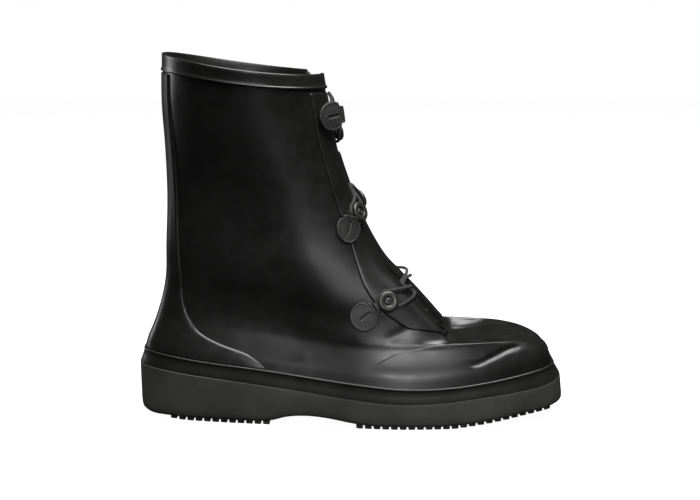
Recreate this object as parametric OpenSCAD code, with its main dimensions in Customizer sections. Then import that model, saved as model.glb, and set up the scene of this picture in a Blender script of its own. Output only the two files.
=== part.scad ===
// Front-closing rubber overboot with three loop-and-button fasteners.
// X runs from heel to toe, the near (outer) side is -Y, Z is up from the floor.

/* [Size] */
// Length of the sole
boot_len = 326; // [300:1:350]
// Width of the sole at the ball
sole_w = 116; // [104:1:126]
// Height of the rim at the back
boot_h = 277; // [255:1:300]
// Thickness of the rubber upper
wall = 2.2; // [1.8:0.1:2.6]

/* [Fasteners] */
// Diameter of a button's head
head_d = 15.4; // [14:0.1:16]
// Diameter of a button's stem
stem_d = 6.4; // [5:0.1:8]
// Diameter of a rivet's shank
rivet_d = 3; // [2:0.1:4]
// Diameter of the elastic cord
cord_d = 2.4; // [2:0.1:2.6]
// Diameter of a pull tab's disc
tab_d = 22; // [19:0.5:24]
// Thickness of a pull tab
tab_t = 2.6; // [2:0.1:2.8]

/* [Tread] */
// Distance from one lug to the next
lug_pitch = 6.5; // [6:0.5:9]
// Width of one lug
lug_w = 5.2; // [3:0.1:5.4]

/* [Hidden] */
$fn = 48;
kx = boot_len / 326;
ky = sole_w / 116;
kz = boot_h / 277;

// ---- curves: rows of [parameter, value, ...] joined smoothly ----
function slope(K, i) =
    i == 0 ? (K[1] - K[0]) / (K[1][0] - K[0][0]) :
    i == len(K) - 1 ? (K[i] - K[i-1]) / (K[i][0] - K[i-1][0]) :
    let (a = K[i][0] - K[i-1][0], b = K[i+1][0] - K[i][0])
    ((K[i] - K[i-1]) / a * b + (K[i+1] - K[i]) / b * a) / (a + b);
function seg(K, t, i = 0) = (i >= len(K) - 2 || t < K[i+1][0]) ? i : seg(K, t, i + 1);
function curve(K, t0) =
    let (
        t = min(max(t0, K[0][0]), K[len(K)-1][0]),
        i = seg(K, t),
        h = K[i+1][0] - K[i][0],
        s = (t - K[i][0]) / h,
        s2 = s * s,
        s3 = s2 * s
    )
    K[i] * (2*s3 - 3*s2 + 1) + slope(K, i) * (h * (s3 - 2*s2 + s)) +
    K[i+1] * (3*s2 - 2*s3) + slope(K, i+1) * (h * (s3 - s2));
function lin(a, b, t) = a + (b - a) * t;
function unit(v) = v / norm(v);
function flip(p) = [p[0], -p[1], p[2]];

// back centre line: height share v, then X and Z
BACK = [
    [0, -158, 54], [0.06, -155.5, 62], [0.12, -151.5, 71], [0.2, -147, 83],
    [0.28, -143.5, 95], [0.36, -141, 108], [0.5, -140, 134], [0.65, -138.5, 170],
    [0.8, -139.5, 208], [0.92, -141.5, 245], [1, -141, 277]
];
// near front ridge, from the toe tip up to the rim: v, then X, Y and Z
RIDGE = [
    [0, 153.7, -1.5, 43.7], [0.03, 152.5, -2, 50], [0.06, 148, -3, 55.5],
    [0.09, 139.5, -5, 60], [0.13, 126, -11, 62], [0.17, 112, -18, 60.5],
    [0.21, 98, -22.5, 57.5], [0.25, 86, -24, 54.8], [0.28, 78, -23.5, 55.5],
    [0.31, 71, -22, 61.5], [0.35, 62, -19.5, 72], [0.4, 51, -16, 84.5],
    [0.46, 39, -12, 97], [0.53, 25.5, -9, 111], [0.6, 14, -7.5, 130],
    [0.68, 4.5, -7, 152], [0.76, -4.5, -7, 178], [0.84, -12, -7, 205],
    [0.92, -16.8, -7, 234], [1, -21.5, -8, 262]
];
// foxing line seen from above: share of length, half width
PLAN = [[0, 36], [0.2, 41], [0.4, 46.5], [0.62, 56.4], [0.8, 56], [1, 50]];
// upper edge, lower edge and underside of the sole's side: X, Z
FOX_TOP = [
    [-158, 54], [-122, 49], [-70, 44], [0, 35.7], [45, 32.3], [75, 33],
    [101, 35.8], [130, 40], [153.7, 43.7]
];
FOX_LOW = [
    [-161.6, 42.5], [-125, 37.7], [-93, 34.5], [-48, 29.4], [0, 23.2], [40, 20.3],
    [68, 21.4], [101, 24.5], [124, 26.7], [149, 30.3], [159, 33.6]
];
UNDER = [
    [-163, 7], [-155, 3.8], [-140, 2.6], [-126, 2.1], [-110, 2.1], [-76, 2.1], [-68, 2.3],
    [-60, 3.2], [-50, 6.2], [-35, 7.8], [-19, 6.8], [0, 3.8], [11, 2.5], [37, 2.1],
    [75, 2.4], [90, 3.5], [112, 6.3], [131, 9.2], [150, 11.6], [163, 15]
];
// lowest face of the lugs: X, Z
TREAD = [
    [-140, 1.2], [-126, 0], [-110, 0], [60, 0], [75, 0], [90, 1.5], [112, 4.3],
    [131, 7.3], [157, 10]
];
// how far the front sinks between the two ridges (minus) or swells (plus)
DIP = [
    [0, 0.3], [0.06, 1.2], [0.12, 2], [0.17, 1], [0.21, -0.5], [0.25, -3],
    [0.285, -7], [0.33, -12], [0.4, -14], [0.5, -12], [0.7, -10], [1, -8]
];
// how far the sides are drawn in above the foot: v, mm
WAIST = [
    [0, 0], [0.04, 2], [0.08, 5.5], [0.12, 8.5], [0.16, 11], [0.2, 12.5], [0.26, 13.8],
    [0.32, 14], [0.4, 12.2], [0.5, 11.6], [0.6, 12], [0.7, 11], [0.85, 6], [1, 0]
];
// upper seam of the vamp: u, v
SEAM = [
    [0.5, 0.02], [0.535, 0.058], [0.583, 0.113], [0.61, 0.14], [0.662, 0.17],
    [0.7, 0.19], [0.8, 0.225], [0.9, 0.26], [1, 0.285]
];
// the line where the near flap bends: share of height, u
BEND = [
    [0, 0.54], [0.16, 0.586], [0.3, 0.606], [0.44, 0.628], [0.58, 0.632],
    [0.72, 0.624], [0.86, 0.603], [1, 0.558]
];
// rear edge of the button stay: v, u
STAY = [
    [0.295, 0.755], [0.35, 0.7], [0.445, 0.688], [0.54, 0.72], [0.6, 0.74],
    [0.68, 0.753], [0.8, 0.77], [1, 0.8]
];
// edge of the heel counter and backstay: v, u
COUNTER = [
    [0, 0.37], [0.035, 0.352], [0.06, 0.333], [0.08, 0.295], [0.12, 0.242],
    [0.175, 0.212], [0.28, 0.18], [0.4, 0.168], [0.52, 0.165], [1, 0.165]
];
// front limit of the far side, cut back at the rim: v, u
FAR_END = [[0, 1], [0.86, 1], [0.92, 0.96], [0.96, 0.87], [1, 0.79]];

// ---- upper surface: u 0 at the back to 1 at the front ridge, v 0 to 1 upward ----
function foot_line(u) =
    let (q = (1 - cos(180*u)) / 2, x = -158 + 311.7*q)
    [x, -curve(PLAN, q)[1] * pow(sin(180*u), 0.45), curve(FOX_TOP, x)[1]];
function rim_line(u) =
    let (q = (1 - cos(180*u)) / 2)
    [-141 + 119.5*q, -(54*pow(sin(180*u), 0.9) + 8*pow(q, 4)), 262 + 15*pow(1-q, 1.7)];
function near_raw(u, v) =
    let (
        L = curve(BACK, v),
        R = curve(RIDGE, v),
        gl = pow(1-u, 1.3),
        gr = pow(u, 1.7),
        gy = pow(u, 3.5),
        dl = [L[1], 0, L[2]] - lin([-158, 0, 54], [-141, 0, 277], v),
        dr = [R[1], R[2], R[3]] - lin([153.7, 0, 43.7], [-21.5, -8, 262], v),
        base = lin(foot_line(u), rim_line(u), v),
        f = v / 0.16 * exp(1 - v/0.16),
        a = min(max((u - 0.35) / 0.4, 0), 1),
        full = 3 * f * a*a*(3 - 2*a) * (1 - pow(u, 7)),
        waist = curve(WAIST, v)[1] * pow(sin(180*u), 1.3)
    )
    [
        base[0] + gl*dl[0] + gr*dr[0],
        base[1] + gy*dr[1] - 0.4*full + waist,
        base[2] + gl*dl[2] + gr*dr[2] + 0.8*full
    ];
function near_s(u, v) = let (p = near_raw(u, v)) [p[0]*kx, p[1]*ky, p[2]*kz];
function near_n(u, v) =
    let (
        e = 0.004,
        du = near_s(min(u+e, 1), v) - near_s(max(u-e, 0), v),
        dv = near_s(u, min(v+e, 1)) - near_s(u, max(v-e, 0)),
        n = cross(du, dv)
    )
    unit(u < 0.001 ? [n[0], 0, n[2]] : n);
// point on either side: w is u on the near side and -u on the far side; d is outward
function pt(w, v, d) =
    let (
        u = abs(w),
        c = min(v, 1),
        rise = unit(near_s(u, 1) - near_s(u, 0.97)),
        p = near_s(u, c) + near_n(u, c)*d + rise*((v - c)*222)
    )
    w < 0 ? flip(p) : p;

// front between the ridges: c runs 1 at the near ridge to -1 at the far one
function front_n(v) =
    let (t = near_s(1, min(v+0.01, 1)) - near_s(1, max(v-0.01, 0)))
    unit([t[2], 0, -t[0]]);
function front_pt(c, v, d, tuck = 0) =
    let (
        R = near_s(1, v),
        n = front_n(v),
        e = near_n(1, v),
        s = abs(c),
        m = unit(lin([n[0], 0, n[2]], [e[0], e[1]*sign(c), e[2]], s*s)),
        sink = curve(DIP, v)[1] * (1 - pow(s, 1.5))
    )
    [R[0], 0, R[2]] + [0, c*(R[1] + tuck), 0] + n*(sink - (tuck > 0 ? 1.2 : 0)) + m*d;
// whole way round: 0 to 1 near, 1 to 2 across the front, 2 to 3 far
function round_pt(w, v, d) =
    w <= 1 ? pt(w, v, d) : w < 2 ? front_pt(3 - 2*w, v, d) : pt(w - 3, v, d);

// ---- side of the sole: k 0 to 1 near heel to toe, 1 to 2 back along the far side ----
// t is 0 at the upper foxing edge, 1 at the lower one and 2 at the underside
function sole_raw(k, t) =
    let (
        s = k <= 1 ? k : 2 - k,
        q = (1 - cos(180*s)) / 2,
        x0 = t < 1 ? lin(-158, -161.6, t) : lin(-161.6, -160.5, t-1),
        x1 = t < 1 ? lin(153.7, 159, t) : lin(159, 160.5, t-1),
        x = lin(x0, x1, q),
        w = curve(PLAN, q)[1] + (t < 1 ? 0.6*t : 0.6 - 1.6*(t-1)),
        z0 = curve(FOX_TOP, x)[1],
        z1 = curve(FOX_LOW, x)[1],
        z2 = curve(UNDER, x)[1]
    )
    [
        x*kx,
        (k <= 1 ? -1 : 1) * w * pow(sin(180*s), 0.45) * ky,
        (t < 1 ? lin(z0, z1, t) : lin(z1, z2, t-1)) * kz
    ];
function sole_n(k) =
    let (
        e = 0.006,
        a = sole_raw(k + e > 2 ? k + e - 2 : k + e, 1),
        b = sole_raw(k - e < 0 ? k - e + 2 : k - e, 1)
    )
    unit([a[1] - b[1], b[0] - a[0], 0]);
function sole_pt(k, t, d) = sole_raw(k, t) + sole_n(k)*d;
function under_z(x) = curve(UNDER, x/kx)[1] * kz;
function tread_z(x) = max(curve(TREAD, x/kx)[1], 0) * kz;
function half_w(x) =
    let (q = min(max((x/kx + 160.5) / 321, 0.001), 0.999), s = acos(1 - 2*q))
    (curve(PLAN, q)[1] - 1) * pow(sin(s), 0.45) * ky;

// ---- solids from grids of points ----
// a closed shell: outer and inner are grids with the same rows (v) and columns (w)
module shell(outer, inner) {
    nr = len(outer);
    nc = len(outer[0]);
    m = nr * nc;
    pts = concat([for (r = outer) each r], [for (r = inner) each r]);
    function id(j, i) = j*nc + i;
    faces = concat(
        [for (j = [0:nr-2], i = [0:nc-2]) each [
            [id(j,i), id(j+1,i), id(j+1,i+1)],
            [id(j,i), id(j+1,i+1), id(j,i+1)],
            [m+id(j,i), m+id(j+1,i+1), m+id(j+1,i)],
            [m+id(j,i), m+id(j,i+1), m+id(j+1,i+1)]
        ]],
        [for (i = [0:nc-2]) each [
            [id(0,i), id(0,i+1), m+id(0,i+1)],
            [id(0,i), m+id(0,i+1), m+id(0,i)],
            [id(nr-1,i), m+id(nr-1,i+1), id(nr-1,i+1)],
            [id(nr-1,i), m+id(nr-1,i), m+id(nr-1,i+1)]
        ]],
        [for (j = [0:nr-2]) each [
            [id(j,0), m+id(j+1,0), id(j+1,0)],
            [id(j,0), m+id(j,0), m+id(j+1,0)],
            [id(j,nc-1), id(j+1,nc-1), m+id(j+1,nc-1)],
            [id(j,nc-1), m+id(j+1,nc-1), m+id(j,nc-1)]
        ]]
    );
    polyhedron(pts, faces, convexity = 8);
}
// a layer over rows of [w, v] points, from height d0 to d1 over the surface
module layer(grid, d0, d1) {
    shell(
        [for (r = grid) [for (q = r) round_pt(q[0], q[1], d1)]],
        [for (r = grid) [for (q = r) round_pt(q[0], q[1], d0)]]
    );
}
// a strip with cross-section prof ([v, d] points, first one seen by all), along ws
module strip(ws, prof) {
    n = len(ws);
    m = len(prof);
    pts = [for (w = ws, q = prof) pt(w, q[0], q[1])];
    faces = concat(
        [for (i = [0:n-2], j = [0:m-1]) let (k = (j+1) % m) each [
            [i*m+j, i*m+k, (i+1)*m+k],
            [i*m+j, (i+1)*m+k, (i+1)*m+j]
        ]],
        [for (j = [1:m-2]) [0, j+1, j]],
        [for (j = [1:m-2]) [(n-1)*m, (n-1)*m+j, (n-1)*m+j+1]]
    );
    polyhedron(pts, faces, convexity = 8);
}
// rings stacked on each other; capped = bottom and top closed across the boot
module rings(rows, capped) {
    nr = len(rows);
    n = len(rows[0]);
    pts = [for (r = rows) each r];
    last = capped ? nr - 2 : nr - 1;
    function id(j, i) = (j % nr)*n + (i % n);
    sides = [for (j = [0:last], i = [0:n-1]) each [
        [id(j,i), id(j+1,i), id(j+1,i+1)],
        [id(j,i), id(j+1,i+1), id(j,i+1)]
    ]];
    function zip(j, up) = [for (i = [0:n/2-1]) let (a = id(j,i), b = id(j,i+1),
        c = id(j,n-i-1), d = id(j,n-i)) each
        i == 0 ? [up ? [a, c, b] : [a, b, c]] :
        i == n/2-1 ? [up ? [a, d, b] : [a, b, d]] :
        up ? [[a, d, c], [a, c, b]] : [[a, c, d], [a, b, c]]];
    polyhedron(pts, capped ? concat(sides, zip(0, false), zip(nr-1, true)) : sides, convexity = 8);
}
// round cord along a closed loop of centre points
module cord_loop(path, r, sides) {
    n = len(path);
    pts = [for (i = [0:n-1])
        let (
            t = unit(path[(i+1) % n] - path[(i+n-1) % n]),
            up = unit(cross(t, cross(path[floor(n/4)] - path[0], path[floor(n/2)] - path[0]))),
            b = cross(t, up)
        )
        for (j = [0:sides-1]) path[i] + r*(cos(360*j/sides)*up + sin(360*j/sides)*b)];
    polyhedron(pts, [for (i = [0:n-1], j = [0:sides-1])
        let (a = i*sides + j, b = i*sides + (j+1) % sides,
            c = ((i+1) % n)*sides + (j+1) % sides, d = ((i+1) % n)*sides + j) each
        [[a, c, b], [a, d, c]]], convexity = 8);
}

// ---- sole unit ----
RING = [for (i = [0:63]) let (a = i/32, b = a % 1)
    floor(a) + lin(b, (1 - cos(180*b)) / 2, 0.7)];
function floor_z(x) = under_z(x) + 4.2;
function floor_ring(d, h) =
    [for (k = RING) let (p = sole_pt(k, 1.5, d)) [p[0], p[1], floor_z(p[0]) + h]];
module outsole() {
    color("#2a2a2a") rings([
        [for (k = RING) let (p = sole_pt(k, 2, -2.5)) [p[0], p[1], under_z(p[0])]],
        [for (k = RING) sole_pt(k, 1.97, 1)],
        [for (k = RING) sole_pt(k, 1.85, 2.4)],
        [for (k = RING) sole_pt(k, 1.4, 2.2)],
        [for (k = RING) sole_pt(k, 1.02, 2)],
        [for (k = RING) sole_pt(k, 1.02, 0)],
        [for (k = RING) sole_pt(k, 0.03, 0)],
        [for (k = RING) sole_pt(k, 0.03, -2.8)],
        [for (k = RING) sole_pt(k, 1.02, -2.8)],
        floor_ring(-3.2, 0)
    ], true);
}
module lug(x) {
    z0 = tread_z(x);
    z1 = min(under_z(x - lug_w/2), under_z(x + lug_w/2)) - 0.15;
    for (s = [-1, 1]) translate([0, 0, z0]) linear_extrude(z1 - z0) polygon([
        [x - lug_w/2, s*1.5],
        [x + lug_w/2, s*1.5],
        [x + lug_w/2, s*(half_w(x + lug_w/2) + 0.4)],
        [x - lug_w/2, s*(half_w(x - lug_w/2) + 0.4)]
    ]);
}
module forefoot_tread() {
    color("#333333") for (x = [6*kx : lug_pitch : 152*kx]) lug(x);
}
module heel_tread() {
    color("#333333") for (x = [-136*kx : lug_pitch : -62*kx]) lug(x);
}
module insole() {
    color("#3c3a38") rings([floor_ring(-3.8, 0.1), floor_ring(-3.8, 2.1)], true);
}
module foxing_band() {
    color("#262626") rings([
        [for (k = RING) sole_pt(k, 0.99, 0.2)],
        [for (k = RING) sole_pt(k, 0.99, 1.7)],
        [for (k = RING) sole_pt(k, 0.2, 1.5)],
        [for (k = RING) sole_pt(k, 0.14, 2)],
        [for (k = RING) sole_pt(k, 0.02, 1.9)],
        [for (k = RING) sole_pt(k, 0.02, 0.2)]
    ], false);
}

// ---- upper ----
COLS = [0.0002, 0.006, 0.02, 0.045, 0.08, 0.12, 0.17, 0.22, 0.29, 0.36, 0.43];
// columns that the pieces meeting along the vamp's seam share
EDGE = [0.5, 0.535, 0.583, 0.61, 0.635, 0.662, 0.7, 0.75, 0.8, 0.85, 0.9, 0.95, 1];
ROWS = [0, 0.03, 0.06, 0.1, 0.14, 0.19, 0.25, 0.31, 0.37, 0.43, 0.5, 0.58, 0.66, 0.74, 0.82, 0.91, 1];
TOP = 0.996;
function seam_v(u, gap) = u < 0.4999 ? 0 : curve(SEAM, u)[1] + gap;
function bend_u(b) = curve(BEND, b)[1];
module vamp() {
    near = concat([0.505], [for (e = EDGE) if (e > 0.51 && e < 1) e]);
    n = len(near);
    ws = concat(near, [1, 1.12, 1.3, 1.5, 1.7, 1.88, 2], [for (i = [n-1:-1:0]) 3 - near[i]]);
    bs = [0, 0.1, 0.2, 0.32, 0.45, 0.58, 0.7, 0.8, 0.9, 1];
    color("#2c2c2c") layer([for (b = bs) [for (w = ws)
        let (u = w <= 1 ? w : w < 2 ? 1 : 3 - w) [w, b * (curve(SEAM, u)[1] - 0.002)]]], -wall, 0);
}
module near_quarter() {
    last = bend_u(0) - 0.002;
    cs = concat(COLS / 0.538, [0.5/last, 0.535/last, 1]);
    color("#2e2e2e") layer([for (b = ROWS) [for (c = cs)
        let (u = c * (bend_u(b) - 0.002)) [u, lin(seam_v(c * last, 0.002), TOP, b)]]], -wall, 0);
}
module far_quarter() {
    cs = concat([for (i = [len(EDGE)-1:-1:0]) EDGE[i]], [for (i = [len(COLS)-1:-1:0]) COLS[i]]);
    color("#2e2e2e") layer([for (b = ROWS_FAR) [for (c = cs)
        let (
            v0 = lin(seam_v(c, 0.011), TOP, b),
            u = c * curve(FAR_END, v0)[1]
        ) [3 - u, v0]]], -wall, 0);
}
ROWS_FAR = [0, 0.03, 0.06, 0.1, 0.14, 0.19, 0.25, 0.31, 0.37, 0.43, 0.5, 0.58, 0.66, 0.74, 0.82,
    0.86, 0.9, 0.93, 0.96, 0.98, 1];
// the flap's lower edge clears the vamp as it swings out
function flap_gap(c) = lin(0.01, 0.038, min(c/0.3, 1));
module near_flap() {
    first = bend_u(0) + 0.007;
    cs = concat([0], [for (e = EDGE) if (e > first + 0.01) (e - first) / (1 - first)]);
    color("#303030") layer([for (b = ROWS) [for (c = cs)
        let (u = lin(bend_u(b) + 0.007, 1, c))
        [u, lin(seam_v(lin(first, 1, c), flap_gap(c)), TOP, b)]]], -wall, 0);
}
module gusset() {
    vs = [0.29, 0.31, 0.34, 0.38, 0.43, 0.49, 0.56, 0.64, 0.72, 0.8, 0.87, 0.93];
    cs = [1, 0.8, 0.6, 0.4, 0.2, 0, -0.2, -0.4, -0.6, -0.8, -1];
    color("#222222") shell(
        [for (v = vs) [for (c = cs) front_pt(c, v, 0, 2.6)]],
        [for (v = vs) [for (c = cs) front_pt(c, v, -1.2, 2.6)]]
    );
}
function spread(a) = sign(a) * pow(abs(a), 1.7);
module heel_counter() {
    vs = [0.004, 0.02, 0.04, 0.06, 0.08, 0.1, 0.13, 0.175, 0.23, 0.29, 0.35, 0.42, 0.5,
        0.59, 0.68, 0.77, 0.87, 0.964];
    color("#292929") shell(
        [for (v = vs) [for (i = [-9:9]) pt(spread(i/9) * curve(COUNTER, v)[1], v, 1.3)]],
        [for (v = vs) [for (i = [-9:9]) pt(spread(i/9) * curve(COUNTER, v)[1], v, 0.3)]]
    );
}
BIND = [
    [0.9985, 0.3], [0.9685, 0.3], [0.9685, 1.8], [0.9735, 1.8], [0.976, 1.3],
    [1.003, 1.3], [1.003, -2.4], [0.9985, -2.4]
];
module top_binding() {
    color("#262626") strip([for (i = [0:48]) lin(-0.782, 0.553, i/48)], BIND);
}
module flap_binding() {
    color("#262626") strip([for (i = [0:16]) lin(0.57, 1, i/16)], BIND);
}
module stay(side, v0, v1) {
    n = 14;
    grid = [for (j = [0:n]) let (v = lin(v0, v1, j/n))
        [for (i = [0:7]) [lin(curve(STAY, v)[1], 0.985, i/7), v]]];
    a = [for (r = grid) [for (q = r) pt(q[0], q[1], 1.2)]];
    b = [for (r = grid) [for (q = r) pt(q[0], q[1], 0.65)]];
    if (side < 0) mirror([0, 1, 0]) shell(a, b);
    else shell(a, b);
}
module near_facing() {
    color("#2b2b2b") stay(1, 0.312, 0.962);
}
module far_facing() {
    color("#2b2b2b") stay(-1, 0.302, 0.82);
}

// ---- fasteners: 1 bottom, 2 middle, 3 top ----
// u, v of the button; turn of the tab's side about the button; v of the loop's front end
// the fourth is the top one of the far side, lower because the rim is cut back there
FIX = [
    [0.73, 0.403, 212, 0.47], [0.85, 0.685, 205, 0.755], [0.965, 0.912, 182, 0.955],
    [0.87, 0.86, 190, 0.955]
];
// tab: bend line's distance out and height, its direction, the way its face looks
TAB = [
    [11.8, 3.4, [-0.8, -0.14, -0.59], [0.1, -0.97, 0.2]],
    [13.8, 6, [-0.15, -0.24, -0.97], [0.6, -0.79, 0.1]],
    [16.4, 10.6, [-0.86, -0.49, -0.16], [0.5, -0.87, 0]]
];
stem_z = 2.2;
head_z = 4.6;
cord_z = 2.9;
function fix_o(i) = near_s(FIX[i][0], FIX[i][1]);
function fix_n(i) = near_n(FIX[i][0], FIX[i][1]);
function fix_t(i) =
    let (
        u = FIX[i][0],
        v = FIX[i][1],
        n = fix_n(i),
        e = near_s(u + 0.004, v) - near_s(u - 0.004, v),
        x = unit(e - n*(e*n)),
        y = cross(n, x)
    )
    x*cos(FIX[i][2]) + y*sin(FIX[i][2]);
module at_fix(i) {
    o = fix_o(i);
    n = fix_n(i);
    t = fix_t(i);
    b = cross(n, t);
    multmatrix([[t[0], b[0], n[0], o[0]], [t[1], b[1], n[1], o[1]], [t[2], b[2], n[2], o[2]]])
        children();
}
module button() {
    difference() {
        union() {
            cylinder(d = stem_d, h = head_z + 0.5 - stem_z);
            translate([0, 0, head_z - stem_z]) rotate_extrude() polygon([
                [0, 0], [head_d/2 - 0.8, 0], [head_d/2, 0.7], [head_d/2, 1.8],
                [head_d/2 - 0.5, 2.4], [head_d/2 - 1.4, 2.8], [0, 2.8]
            ]);
        }
        translate([0, 0, -1]) cylinder(d = rivet_d + 0.1, h = 20);
        translate([0, 0, head_z - stem_z + 1]) cylinder(d = 6.5, h = 5);
    }
}
module button_at(i) {
    color("#3a3a38") at_fix(i) translate([0, 0, stem_z]) button();
}
module rivet_at(i) {
    color("#1c1c1c") at_fix(i) union() {
        translate([0, 0, -wall - 0.9]) cylinder(d = 8, h = 0.8);
        translate([0, 0, -wall - 0.2]) cylinder(d = rivet_d, h = wall + head_z + 1.3);
        translate([0, 0, head_z + 1.05]) cylinder(d = 5.4, h = 1);
    }
}
module washer_at(i) {
    color("#3a3a38") at_fix(i) translate([0, 0, 1.3]) difference() {
        cylinder(d = 11.4, h = 0.85);
        translate([0, 0, -1]) cylinder(d = rivet_d + 0.1, h = 4);
    }
}
// teardrop: round the button in its plane, then two strands over the surface to the front
function loop_path(i) =
    let (
        o = fix_o(i), n = fix_n(i), t = fix_t(i), b = cross(n, t),
        r = 7.7,
        va = FIX[i][3],
        fn = front_n(va),
        R = near_s(1, va),
        apex = [R[0], -2.4, R[2]] + fn*2.2,
        ax = (apex - o)*t,
        ay = (apex - o)*b,
        al = atan2(ay, ax),
        open = acos(min(r / norm([ax, ay]), 0.8)),
        arc = [for (j = [0:18]) let (a = al + open + j*(360 - 2*open)/18)
            o + t*(r*cos(a)) + b*(r*sin(a)) + n*cord_z],
        // the strands lie on the surface and close in on each other
        mid = [for (f = [0.12:0.11:0.9]) let (u = lin(FIX[i][0], 1, f), v = lin(FIX[i][1], va, f))
            near_s(u, v) + near_n(u, v)*lift(i, f)],
        m = len(mid),
        strand = [for (k = [0:m-1]) mid[k] + (arc[18] - o - n*cord_z)*(1 - (k+1)/(m+1))],
        back = [for (k = [m-1:-1:0]) mid[k] + (arc[0] - o - n*cord_z)*(1 - (k+1)/(m+1))]
    )
    concat(arc, strand, [apex + (arc[18]-arc[0])*0.06, apex + (arc[0]-arc[18])*0.06], back);
// height of a strand's centre over the surface
function lift(i, f) = cord_z + [0.6, 0.4, 0.2, 0.4][i] * sin(180*f);
// the short neck that joins the loop to its tab
NECK = [
    [[7.8, 2], [9.8, 2], [9.8, 3.9], [7.8, 3.9]],
    [[7.8, 2], [9.8, 2], [9.8, 3.9], [7.8, 3.9]],
    [[7.9, 2], [9.3, 2], [14.2, 8.6], [14.2, 10.6], [13, 10.6], [7.9, 3.9]]
];
module loop_at(i, neck) {
    color("#202020") union() {
        cord_loop(loop_path(i), cord_d/2, 8);
        if (neck) at_fix(i) translate([0, 5, 0]) rotate([90, 0, 0]) linear_extrude(10)
            polygon(NECK[i]);
    }
}
module at_tab(i) {
    o = fix_o(i) + fix_t(i)*TAB[i][0] + fix_n(i)*TAB[i][1];
    t = unit(TAB[i][2]);
    n = unit(TAB[i][3] - t*(TAB[i][3]*t));
    b = cross(n, t);
    multmatrix([[t[0], b[0], n[0], o[0]], [t[1], b[1], n[1], o[1]], [t[2], b[2], n[2], o[2]]])
        children();
}
module tab_at(i) {
    x0 = -0.6;
    rd = tab_d / 2;
    xc = rd - 2;
    color("#343432") at_tab(i) translate([0, 0, -tab_t/2]) difference() {
        linear_extrude(tab_t) polygon(concat(
            [[x0, 6.4], [x0, -6.4]],
            [for (a = [-126:12:126]) [xc + rd*cos(a), rd*sin(a)]]
        ));
        translate([xc - 3, -1, tab_t - 0.8]) cube([9, 2, 3]);
    }
}

module near_button_1() { button_at(0); }
module near_button_2() { button_at(1); }
module near_button_3() { button_at(2); }
module near_rivet_1() { rivet_at(0); }
module near_rivet_2() { rivet_at(1); }
module near_rivet_3() { rivet_at(2); }
module near_washer_1() { washer_at(0); }
module near_washer_2() { washer_at(1); }
module near_washer_3() { washer_at(2); }
module far_button_1() { mirror([0, 1, 0]) button_at(0); }
module far_button_2() { mirror([0, 1, 0]) button_at(1); }
module far_button_3() { mirror([0, 1, 0]) button_at(3); }
module far_rivet_1() { mirror([0, 1, 0]) rivet_at(0); }
module far_rivet_2() { mirror([0, 1, 0]) rivet_at(1); }
module far_rivet_3() { mirror([0, 1, 0]) rivet_at(3); }
module far_washer_1() { mirror([0, 1, 0]) washer_at(0); }
module far_washer_2() { mirror([0, 1, 0]) washer_at(1); }
module far_washer_3() { mirror([0, 1, 0]) washer_at(3); }
module near_loop_1() { loop_at(0, true); }
module near_loop_2() { loop_at(1, true); }
module near_loop_3() { loop_at(2, true); }
module far_loop_1() { mirror([0, 1, 0]) loop_at(0, false); }
module far_loop_2() { mirror([0, 1, 0]) loop_at(1, false); }
module far_loop_3() { mirror([0, 1, 0]) loop_at(3, false); }
module tab_1() { tab_at(0); }
module tab_2() { tab_at(1); }
module tab_3() { tab_at(2); }

outsole();
forefoot_tread();
heel_tread();
insole();
foxing_band();
vamp();
near_quarter();
far_quarter();
heel_counter();
gusset();
near_flap();
top_binding();
flap_binding();
near_facing();
far_facing();
near_button_1();
near_button_2();
near_button_3();
near_rivet_1();
near_rivet_2();
near_rivet_3();
near_washer_1();
near_washer_2();
near_washer_3();
far_button_1();
far_button_2();
far_button_3();
far_rivet_1();
far_rivet_2();
far_rivet_3();
far_washer_1();
far_washer_2();
far_washer_3();
near_loop_1();
near_loop_2();
near_loop_3();
far_loop_1();
far_loop_2();
far_loop_3();
tab_1();
tab_2();
tab_3();
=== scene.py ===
"""Front-closing rubber overboot: every visible surface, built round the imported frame.

Lengths are in millimetres until a mesh is made. X runs from heel to toe, -Y is the near
(outer) side and Z is up. The surface is the same one that the CAD model is made on.
"""
import math

import bpy
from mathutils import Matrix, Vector
import numpy as np


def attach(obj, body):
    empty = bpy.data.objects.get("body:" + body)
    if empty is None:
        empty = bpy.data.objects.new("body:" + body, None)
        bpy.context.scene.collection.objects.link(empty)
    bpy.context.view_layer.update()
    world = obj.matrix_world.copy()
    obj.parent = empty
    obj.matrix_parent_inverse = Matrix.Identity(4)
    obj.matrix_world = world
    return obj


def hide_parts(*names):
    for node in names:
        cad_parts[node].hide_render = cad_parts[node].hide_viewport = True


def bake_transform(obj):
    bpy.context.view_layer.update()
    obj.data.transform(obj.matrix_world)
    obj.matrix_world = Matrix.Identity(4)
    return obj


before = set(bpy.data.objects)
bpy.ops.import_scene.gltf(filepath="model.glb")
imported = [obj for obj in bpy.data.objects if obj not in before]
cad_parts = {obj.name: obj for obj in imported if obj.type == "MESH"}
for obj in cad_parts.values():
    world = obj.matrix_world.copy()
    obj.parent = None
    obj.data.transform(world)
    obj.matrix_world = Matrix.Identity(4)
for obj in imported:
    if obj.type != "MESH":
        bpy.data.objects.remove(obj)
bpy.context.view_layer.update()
MM = 0.001
WALL = 2.2
LUG_PITCH = 6.5
LUG_HALF = 2.6
LOOP_RADIUS = 7.7
CORD_RADIUS = 1.2
CORD_HEIGHT = 2.9

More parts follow.
